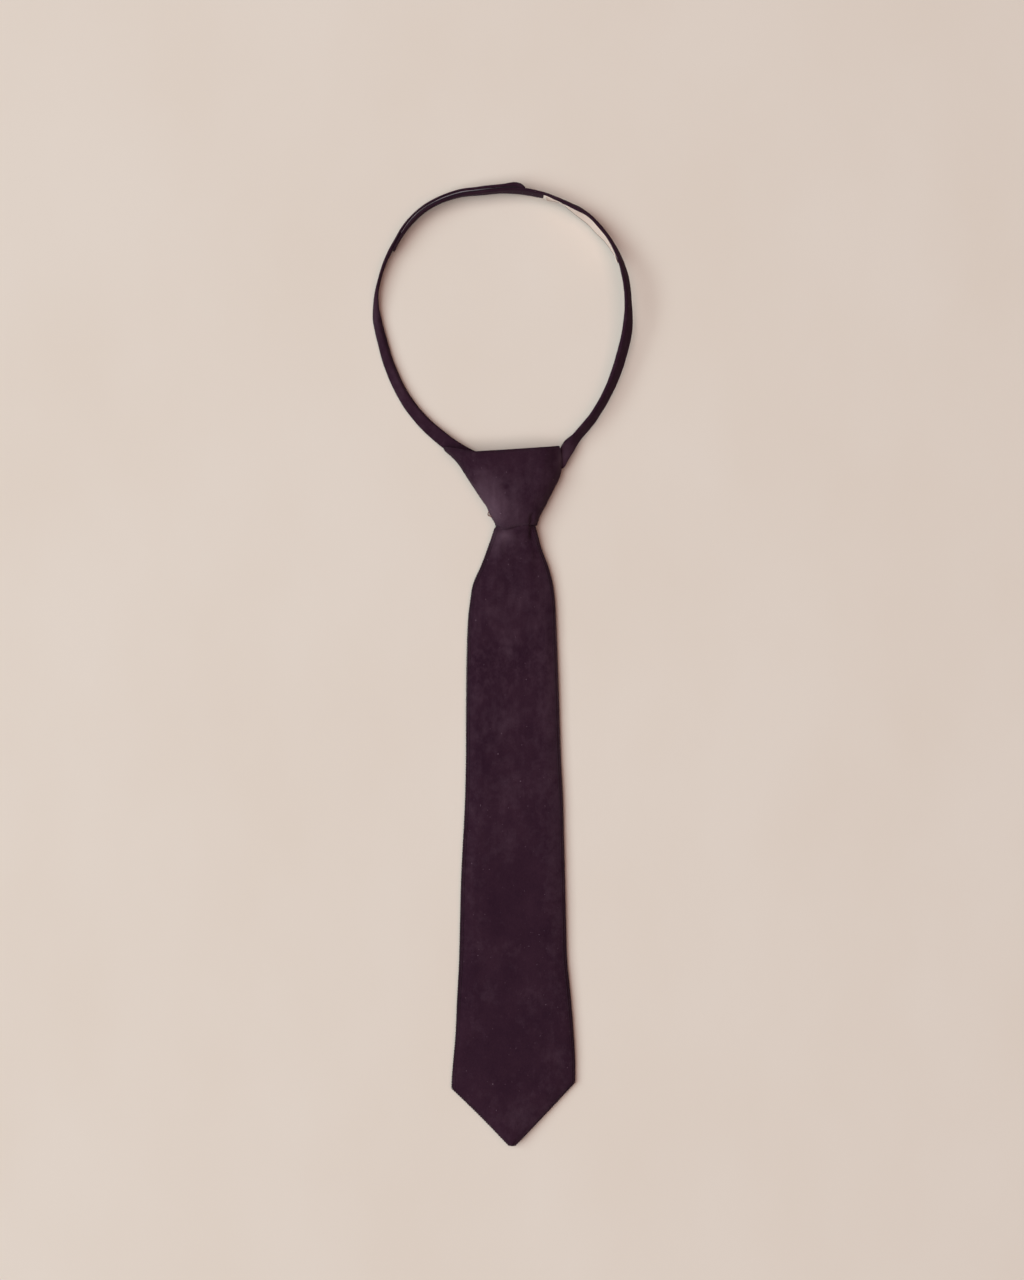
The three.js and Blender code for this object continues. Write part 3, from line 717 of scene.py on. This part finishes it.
def knot_grid(step_along, counts):
    """Places of the knot's cloth, row by row from the rim down to the lower lip."""
    heights = even_steps(KNOT_TOP, KNOT_LIP, step_along)
    rim_x, rim_y = np.array(knot_rim).T
    lip_x, lip_dip = np.array(knot_lip).T
    corner_x, corner_z = np.array(knot_corner).T
    under = counts[0]
    places, flat = [], []
    for y, (left, right, thick) in zip(heights, smooth_rows(knot_rows, heights)):
        middle = (left + right) / 2
        x, z = domed_outline(left, right, thick, middle + KNOT_LAP, middle - KNOT_LAP, counts)
        if not places:  # the rows below share the rim's shift, column by column
            rim_shift = np.interp(x, rim_x, rim_y) - KNOT_TOP
        # Where the flaps lap, the right one lies inside the left one; only the front dips
        lapped = np.clip(1 - (x[:under + 1] - (middle - KNOT_LAP)) / (2.2 * KNOT_LAP), 0, 1)
        z[:under + 1] += (KNOT_WALL + LAP_GAP) * np.sqrt(lapped)
        rise = (y - KNOT_LIP) / (KNOT_TOP - KNOT_LIP)
        dip = np.interp(x, lip_x, lip_dip) * max(0, 1 - (y - KNOT_LIP) / DIP_REACH) ** 2
        down = y + rise ** 2 * rim_shift - dip * np.clip((z - 5) / 2, 0, 1)
        press = np.clip((down - PRESS_FROM) / PRESS_OVER, 0, 1)
        lowered = z + press * (np.minimum(z, np.interp(x, corner_x, corner_z)) - z)
        z = np.where(z > KNOT_LOW, lowered, z)
        x = np.minimum(x, smooth_rows(knot_rows, down)[:, 1])
        places.append(np.stack([x, down, z], axis=1))
        flat.append(unrolled(x, z, y))
    return np.array(places), np.array(flat)


knot_places, knot_flat = knot_grid(step_along=1.0, counts=(12, 5, 40))
knot_front = np.clip((knot_places[:, :, 2] - 4.0) / 3.0, 0, 1)
knot_waves = 0.22 * soft_noise(knot_places, 11.0, 3) + 0.12 * soft_noise(knot_places, 4.5, 4)
knot_waves += creased(knot_places, knot_creases)
# Its rows are a millimetre apart: the rim rolls out just below its edge, and the lip turns in
from_rim = np.arange(len(knot_places))[:, None]
from_lip = len(knot_places) - 1 - from_rim
knot_waves += KNOT_ROLL * np.exp(-((from_rim - 1.2) / 0.9) ** 2) - 0.9 * np.exp(-(from_lip / 1.1) ** 2)
knot_places += grid_normals(knot_places) * (knot_waves * knot_front)[:, :, None]
knot = sheet_mesh("knot_velvet", knot_places, knot_flat)
finish_cloth(knot, KNOT_WALL, even=False)
# Paler and darker pile on the knot, partly painted light: the broad patches on its left side are painted
# light on the side turned to the lamp, the patches at its upper right corner lighten the knot's own
# shade there, the patch on the lip and the thin pale lines are painted highlights on edges and folds,
# and the thin dark marks are painted shade in folds; the rest are crushed pile.
knot_pile_and_light = [
    (-7.5, 63, 8, 9, 1.4), (2, 62, 7, 8, 0.4), (-3, 59.5, 3, 4, 0.4),
    (3, 72.5, 5, 3.5, 0.2), (-8, 72.5, 3, 4, 0.3), (-9, 76.6, 3.4, 1.4, 0.45),
    (6, 55.5, 6, 3, 0.35), (23.5, 82, 1.2, 6, 0.8), (15, 72, 7, 16, 0.12),
    (22.8, 81, 1.6, 6, 0.3), (-3.4, 68, 0.6, 5, 0.3), (1.2, 70.2, 1.8, 1.5, -0.45),
    (4.6, 66, 0.7, 4, 0.25), (-0.4, 61, 0.6, 4, -0.3), (5.8, 60.5, 0.6, 3.5, 0.25),
]
lay_of_pile_and_light(knot, knot_pile_and_light)
stand_for(knot, "knot_wrap", "black_velvet", velvet, velvet_ground)

# Its fringe stands along the folded sides, and along the rim and the lip between them
knot_edge_columns = [13.5, 14.8, 15.8, 16.6, 17.3, 18.0, 19.0]
knot_edge_columns += [knot_places.shape[1] - 1 - c for c in knot_edge_columns]
knot_edge = fringe_along(knot_places, knot_edge_columns, step=0.3, seed=7)
knot_rims = knot_places.transpose(1, 0, 2)[::-1][14:-14]
knot_rim_columns = [0.1, 0.5, 0.9, knot_rims.shape[1] - 1.2, knot_rims.shape[1] - 1.6]
knot_rim_edge = fringe_along(knot_rims, knot_rim_columns, step=0.3, seed=8)
knot_rim_edge[:, 3:6] *= -1
knot_edge = np.concatenate([knot_edge, knot_rim_edge])
knot_fringe = pile_tufts("knot_pile_fringe", knot_edge, length=0.3, wide=0.26, seed=9)
lay_of_pile_and_light(knot_fringe, knot_pile_and_light, all_over=0.4)

# Lap seam of the knot: stitches of black thread that hold the edge of its inner flap through the
# outer one. At the knot's lower left a loop of brown cotton basting thread is left, matt and a
# little lighter than the pile it lies on.
lap_y = np.arange(57.5, 84.0, 3.2)
lap_paths = []
for y, (left, right, _) in zip(lap_y, smooth_rows(knot_rows, lap_y)):
    x = (left + right) / 2 - KNOT_LAP
    lap_paths.append([(x + r, y + 0.6 * r, 0.35 + 0.3 * min(r, 0)) for r in (-1, -0.5, 0, 0.5, 1)])
knot_stitches = thread_mesh("knot_lap_stitches", lap_paths, black_thread)
brown_thread = new_material("brown_basting_thread", {
    "Base Color": tone("#7a4f4c"), "Roughness": 0.6, "Specular IOR Level": 0.3})
turn = np.linspace(-0.5, 2 * math.pi - 1.1, 22)
basting_loop = np.stack([
    -4.95 - 0.8 * np.cos(turn - 0.3),
    59.85 + 0.95 * np.sin(turn - 0.3),
    5.6 + 0.35 * np.sin(2 * turn),
], axis=1)
basting_path = np.concatenate([[(-3.6, 60.6, 5.0)], basting_loop, [(-3.6, 59.0, 5.2)]])
basting = thread_mesh("basting_thread_loop", [basting_path], brown_thread, rounding=0.2, sides=6)

# Neck band: a narrow strip of velvet folded to a flat tube, its edges slip-stitched together
# along the inner face. It stands on its edge at the back of the neck, puffs up and leans over
# round the sides, and its left end laps outside its right end.
LOOP_CENTRE = (-0.1, 138.0)
LOOP_RADIUS = 51.0
# From the left end, anticlockwise through the knot, to the right end, in degrees
BAND_START = 80
BAND_END = 508
BAND_WALL = 0.35
SQUARENESS = 0.62
band_lap_rows = [
    # angle, radius of the middle, lean inwards at the top, base, high, thick
    (433, 51, -7, 3.8, 6.4, 1.4), (438, 50.8, -9, 3.9, 6.4, 1.35), (444, 50.5, -7, 3.9, 6.4, 1.3),
    (450, 50.2, -3, 3.9, 6.4, 1.2), (456, 50, -1, 3.8, 6.4, 1.2), (462, 50.25, 1, 3.7, 6.4, 1.2),
    (468, 51.1, 3, 3.5, 6.4, 1.2), (474, 51.7, 5, 3.3, 6.4, 1.2), (480, 52.2, 6, 3, 6.4, 1.15),
    (486, 52.5, 4, 2.7, 6.4, 1.2), (492, 52.35, 2, 2.3, 6.4, 1.15), (498, 51.95, 2, 1.8, 6.4, 0.95),
    (504, 51.37, 2, 1.3, 6.4, 0.78), (510, 50.9, 2, 0.9, 6.4, 0.75),
]
# The outer end laps over the inner one; it is thicker at its turned-in hem and closes onto it
band_end_rows = [
    (78, 52, 8, 3.9, 6.4, 1.7), (84, 52.75, 7, 3.9, 6.4, 2.1), (90, 51.9, 1, 3.9, 6.4, 1.55),
    (96, 51.62, -1, 3.8, 6.4, 1.4), (102, 51.87, 1, 3.7, 6.4, 1.4), (108, 52.75, 3, 3.5, 6.4, 1.3),
    (114, 53.3, 5, 3.3, 6.4, 1.25), (120, 53.75, 6, 3, 6.4, 1.2), (126, 53.95, 4, 2.7, 6.4, 1.1),
    (132, 53.75, 2, 2.3, 6.4, 1), (138, 53.2, 2, 1.8, 6.4, 1.2), (144, 52.4, 2, 1.3, 6.4, 1.2),
]
band_turn_rows = [
    (150, 51.95, 2, 0.7, 6.4, 1.5), (156, 51.7, 2, 0.3, 6.3, 1.25), (162, 51.35, 0, 0.1, 6, 1.15),
    (168, 51.15, 3, 0, 5.4, 1.5), (174, 50.7, 12, 0, 4.4, 2.1), (180, 49.95, 32, 0, 3.8, 2.8),
    (186, 49.1, 45, 0, 3.8, 3), (192, 48.65, 54, 0, 3.8, 3), (204, 48.8, 60, 0, 4.2, 3),
    (216, 49.75, 63, 0, 4.5, 2.9), (228, 51.2, 68, 0.1, 5, 2.6), (240, 52.95, 74, 0.9, 5.4, 2.1),
    (248, 54.5, 79, 2.2, 5.6, 1.6), (259, 57.1, 82, 1.9, 6, 1), (272, 59.8, 84, 1.8, 6.4, 1),
    (285, 61.2, 82, 2.6, 6.4, 1), (289, 60.9, 80, 3, 6.4, 1), (291, 61.15, 79, 3.6, 6.4, 1),
    (292.5, 61.35, 78, 4.1, 6.4, 1), (294.3, 59.75, 78, 4.5, 6.4, 1), (296.4, 58.25, 74, 4.5, 6.4, 1),
    (298.4, 57.4, 58, 4.1, 6.3, 1.1), (300.4, 56.65, 40, 3.7, 6.3, 1.2), (303, 55.7, 34, 3.6, 6.2, 1.35),
    (306, 54.95, 31, 3.6, 6.2, 1.5), (312, 53.75, 28, 3.6, 6.2, 1.7), (318, 52.55, 26, 3.7, 6.2, 1.9),
    (330, 50.75, 30, 3.9, 6.2, 1.95), (342, 49.75, 34, 4.6, 6.2, 1.95),
    (354, 49.95, 33.5, 5.6, 6.2, 1.9), (366, 50.25, 22, 6.6, 6.2, 1.65), (378, 51.3, 21, 6.2, 6.4, 1.5),
    (390, 52.45, 14, 4.2, 6.4, 1.25), (397, 52.9, 9, 3.3, 6.4, 1.3), (404, 53.15, 7, 2.7, 6.4, 1.4),
    (409, 53.35, 7, 2.7, 6.4, 1.35), (412, 53.2, 11, 2.8, 6.4, 1.35), (415, 52.85, 17, 2.9, 6.4, 1.45),
    (418.5, 52.35, 14, 3.1, 6.4, 1.45), (422, 52.07, 11, 3.3, 6.4, 1.45), (424, 52, 6, 3.4, 6.4, 1.3),
    (426, 51.68, 1, 3.5, 6.4, 1.25), (430, 51.35, -4, 3.7, 6.4, 1.25),
]
band_rows = band_end_rows + band_turn_rows + band_lap_rows


def loop_frame(angle, radius, lean, base, high, rounding):
    """Middle of a strip's section at each angle round the loop, with its inward and upward ways."""
    turn, tilt = np.radians(angle), np.radians(lean)
    out = np.stack([np.cos(turn), np.sin(turn), np.zeros(len(turn))], axis=1)
    rise = np.array([0, 0, 1.0])
    face = -out * np.cos(tilt)[:, None] - rise * np.sin(tilt)[:, None]
    up = -out * np.sin(tilt)[:, None] + rise * np.cos(tilt)[:, None]
    centre = out * np.asarray(radius)[:, None] + np.array([*LOOP_CENTRE, 0])
    centre[:, 2] = np.maximum(base, 0) + (high / 2 - rounding) * np.cos(tilt) + rounding
    return centre, face, up


def on_strip(frames, inward, upward):
    """Places of points given inward and upward of the middle of each section of a strip."""
    centre, face, up = frames
    return centre[:, None] + face[:, None] * inward[..., None] + up[:, None] * upward[..., None]


def band_frames(angles):
    """Sections of the band at these angles, with their heights and thicknesses."""
    radius, lean, base, high, thick = smooth_rows(band_rows, angles).T
    return loop_frame(angles, radius, lean, base, high, thick / 2), high, thick


band_angles = even_steps(BAND_START, BAND_END, 1.0)
band_sections, band_high, band_thick = band_frames(band_angles)
# Both ends are pressed flat over the last degree and a half, where the tube is sewn shut
ends_pressed = np.clip(np.minimum(band_angles - BAND_START, BAND_END - band_angles) / 1.5, 0, 1)
band_thick = 2 * BAND_WALL + (band_thick - 2 * BAND_WALL) * ends_pressed
# Its section is a squarish oval, open by a hair at the seam, with evenly spaced points
around = np.linspace(0.0, 2 * math.pi, 400)
oval = np.stack([np.sign(f(around)) * np.abs(f(around)) ** SQUARENESS for f in (np.cos, np.sin)])
oval_run = np.concatenate([[0], np.cumsum(np.hypot(*np.diff(oval * [[0.6], [3.2]], axis=1)))])
even_run = np.linspace(0.06, oval_run[-1] - 0.06, 44)
oval = np.stack([np.interp(even_run, oval_run, side) for side in oval])
band_places = on_strip(
    band_sections, band_thick[:, None] / 2 * oval[0], band_high[:, None] / 2 * oval[1])
band_waves = 0.1 * soft_noise(band_places, 6.0, 5) + 0.05 * soft_noise(band_places, 2.5, 6)
band_waves *= np.clip(band_thick - 0.8, 0, 1)[:, None]
band_places += grid_normals(band_places) * band_waves[:, :, None]
band_places[:, :, 2] = np.maximum(band_places[:, :, 2], 0)
band_flat = np.stack(np.meshgrid(even_run, np.radians(band_angles) * LOOP_RADIUS), axis=2)
band = sheet_mesh("band_velvet", band_places, band_flat)
finish_cloth(band, BAND_WALL, refine=False)
# Paler pile on the band, partly painted light: the two patches on the left strap are painted light on
# its outer face, turned to the lamp, and the one beside the knot's right corner lightens the strap in
# the knot's shade; the one on the right strap is crushed pile.
lay_of_pile_and_light(band, [
    (-51.5, 128, 2.4, 26, 0.5), (-42, 104, 3, 14, 0.3), (49.5, 110, 2, 14, 0.15),
    (26, 83, 2.5, 5, 0.6),
])
stand_for(band, "neck_band", "black_velvet", velvet, velvet_ground)
band_edge_columns = [8.5, 9.5, 10.5, 11.5, 12.5, 30.5, 31.5, 32.5, 33.5, 34.5, 21.5]
band_edge = fringe_along(band_places, band_edge_columns, step=0.32, seed=10)
band_fringe = pile_tufts("band_pile_fringe", band_edge, length=0.22, wide=0.24, seed=11)

# Slip stitches of its seam, across the middle of the inner face
stitch_angles = np.arange(BAND_START + 2.0, BAND_END - 1.0, 4.6)
stitch_sections, _, stitch_thick = band_frames(stitch_angles)
stitch_up = np.tile([-0.6, -0.3, 0.0, 0.3, 0.6], (len(stitch_angles), 1))
stitch_in = stitch_thick[:, None] / 2 - 0.06 + 0.1 * np.cos(stitch_up * 2.4)
stitch_paths = on_strip(stitch_sections, stitch_in, stitch_up)
band_stitches = thread_mesh("band_seam_stitches", stitch_paths, black_thread)

# Closing tapes: stiff hook nylon on the band's right end and loop pile on its left end, pressed
# together where the ends overlap. Woven tape with rows of moulded hooks and spun loops; the hook tape
# is near black, and the pale grey of the loop tape and its loops is a painted highlight for a glint.
TAPE_START = 82
TAPE_END = 140
TAPE_HIGH = 5.0
TAPE_THICK = 0.16
TAPE_RAISE = 0.7
# Where the middle of the closure lies between the ends of the band, and how flat it is pressed
tape_press = [
    # angle, outwards from the middle of the inner end, share of the tapes' loose distance
    (82, 0.95, 0.6), (90, 0.88, 0.4), (96, 0.85, 0.33), (120, 0.8, 0.33), (126, 0.76, 0.33),
    (132, 0.72, 0.3), (140, 0.5, 0.2),
]
# Outwards from the middle of the inner end: the closure's middle and both tapes, when loose
TAPE_MIDDLE = 0.96
HOOKS_OUT = 0.56
LOOPS_OUT = 1.36
tape_angles = even_steps(TAPE_START, TAPE_END, 1.0)


def tape_frames(angles, offset):
    """Sections of a closing tape, set off outwards from the middle of the band's inner end."""
    radius, lean, base = smooth_rows(band_rows, angles + 360).T[:3]
    middle, share = straight_rows(tape_press, angles).T
    radius = radius + middle + (offset - TAPE_MIDDLE) * share
    return loop_frame(angles, radius, lean, base + TAPE_RAISE, TAPE_HIGH, 0.0)


def closing_tape(name, node, slot_name, offset, dark, light):
    """Woven ground of one closing tape in dull nylon, whose two tones give it a fine grain."""
    across = np.linspace(-TAPE_HIGH / 2, TAPE_HIGH / 2, 9)
    up = np.tile(across, (len(tape_angles), 1))
    places = on_strip(tape_frames(tape_angles, offset), np.zeros(up.shape), up)
    flat = np.stack(np.meshgrid(across, np.radians(tape_angles) * LOOP_RADIUS), axis=2)
    piece = sheet_mesh(name, places, flat)
    finish_cloth(piece, TAPE_THICK, refine=False)
    nylon = new_material(slot_name + "_tape", {"Roughness": 0.7, "Specular IOR Level": 0.3})
    grain = stretched_noise(nylon, (0.4, 0.4, 0.4), 2.0)
    finish_surface(nylon, blend_tones(nylon, grain, tone(dark), tone(light)))
    stand_for(piece, node, slot_name, nylon, nylon)
    return piece


hook_tape = closing_tape("hook_tape_nylon", "hook_tape", "hook_nylon", HOOKS_OUT, "#2e252b", "#3d3239")
# The loop tape's pale tones are a painted highlight: the glint along the closure, on a tape that is near
# black.
loop_tape = closing_tape("loop_tape_pile_painted_glint", "loop_tape", "loop_pile", LOOPS_OUT, "#aaa0a8", "#cfc5cc")

# The hooks and loops stand in rows of nine across the tapes, this many degrees apart
BRISTLES = 9
BRISTLE_STEP = 0.62


def tape_bristles(name, tape, shape, rounding, seed):
    """Hooks or loops on a tape: each point of the shape is outward from the band, along it and up."""
    rng = np.random.default_rng(seed)
    angles = np.repeat(np.arange(TAPE_START + 0.6, TAPE_END - 0.4, BRISTLE_STEP), BRISTLES)
    heights = np.tile(np.linspace(-2.25, 2.25, BRISTLES), len(angles) // BRISTLES)
    angles = angles + rng.uniform(-0.3, 0.3, len(angles)) * BRISTLE_STEP
    heights = heights + rng.uniform(-0.1, 0.1, len(heights))
    paths = []
    for out, along, up in shape:
        frames = tape_frames(angles + np.degrees(along / 52.0), out)
        paths.append(on_strip(frames, np.zeros((len(angles), 1)), (heights + up)[:, None])[:, 0])
    nylon = tape.data.materials[0]
    return thread_mesh(name, np.stack(paths, axis=1), nylon, rounding, sides=3)


hook_shape = [(0.56, 0, 0), (0.8, 0.02, 0), (0.98, 0.06, 0), (1.04, 0.18, 0), (0.94, 0.28, 0)]
loop_shape = [(1.3, -0.2, 0), (1.05, -0.18, 0.05), (0.86, 0, 0.1), (1.05, 0.18, 0.05), (1.3, 0.2, 0)]
hooks = tape_bristles("nylon_hooks", hook_tape, hook_shape, rounding=0.05, seed=12)
# The loops take the loop tape's pale tone, the same painted highlight.
loops = tape_bristles("spun_loops_painted_glint", loop_tape, loop_shape, rounding=0.04, seed=13)

# Label: a blank white satin ribbon on the inside of the right strap. It is stitched on at both
# ends and stands off the strap between them. A brownish yarn along its lower edge is painted shadow.
LABEL_HIGH = 5.2
LABEL_THICK = 0.25
label_rows = [
    # angle, inset from the middle of the band, lean, base
    (385, 1.3, 12, 5.7), (391, 1.45, 2, 4.8), (397, 1.5, -7, 3.8), (402, 1.8, -14, 3.3),
    (407, 1.8, -15, 3.2), (411.5, 1.95, -13, 3.2), (415, 1.9, -5, 3.5), (418.5, 1.45, 3, 3.7),
    (422, 1.02, 12, 4), (425.5, 0.92, 6, 4.2), (431, 0.86, -6, 4.5),
]
LABEL_START, LABEL_END = label_rows[0][0], label_rows[-1][0]


def label_frames(angles):
    """Sections of the label at these angles."""
    inset, lean, base = smooth_rows(label_rows, angles).T
    radius = smooth_rows(band_rows, angles)[:, 0] - inset
    return loop_frame(angles, radius, lean, base, LABEL_HIGH, LABEL_THICK / 2)


label_angles = even_steps(LABEL_START, LABEL_END, 0.5)
label_up = np.tile(np.linspace(-LABEL_HIGH / 2, LABEL_HIGH / 2, 13), (len(label_angles), 1))
label_places = on_strip(label_frames(label_angles), np.full(label_up.shape, LABEL_THICK / 2), label_up)
label_flat = np.stack(np.meshgrid(label_up[0], np.radians(label_angles) * LOOP_RADIUS), axis=2)
label = sheet_mesh("label_ribbon", label_places, label_flat)
finish_cloth(label, LABEL_THICK, refine=False)

# Satin ribbon: smooth warm white with a silky gloss and a fine thread line along it
satin = new_material("label_satin", {"Roughness": 0.45, "Specular IOR Level": 0.4, "Sheen Weight": 0.1})
weave = stretched_noise(satin, (0.3, 1.2, 0.3), 1.0)
finish_surface(satin, blend_tones(satin, weave, tone("#e6cec2"), tone("#edd8cb")))
stand_for(label, "neck_label", "label_satin", satin, satin)

# White polyester thread: six stitches over each end, a little duller than the satin
white_thread = new_material("white_label_thread", {
    "Base Color": tone("#ded3c9"), "Roughness": 0.5, "Specular IOR Level": 0.4})
stitch_along = np.array([-1.1, -0.4, 0.3, 0.8])
stitch_inward = np.array([-0.35, 0.14, 0.2, 0.1])[:, None]
tack_paths = []
for end, way in ((LABEL_START + 0.9, 1), (LABEL_END - 0.9, -1)):
    frames = label_frames(end + way * stitch_along)
    for up in np.linspace(-2.1, 2.1, 6):
        tack_paths.append(on_strip(frames, stitch_inward, np.full((4, 1), up))[:, 0])
label_stitches = thread_mesh(
    "label_end_stitches", tack_paths, white_thread, rounding=0.1)

# Painted shadow: a matt brownish yarn along the label's lower edge, for the thin line of shade under it
shadow_line_yarn = new_material("painted_shadow_yarn", {"Base Color": tone("#8a6f62"), "Roughness": 0.7})
shadow_line_angles = even_steps(LABEL_START + 0.2, LABEL_END - 0.2, 0.5)
shadow_line_in = np.full((len(shadow_line_angles), 1), 0.1)
shadow_line_up = np.full((len(shadow_line_angles), 1), 0.05 - LABEL_HIGH / 2)
shadow_line_path = on_strip(label_frames(shadow_line_angles), shadow_line_in, shadow_line_up)[:, 0]
label_shadow_line = thread_mesh(
    "label_shadow_line", [shadow_line_path], shadow_line_yarn, rounding=0.14, sides=6)
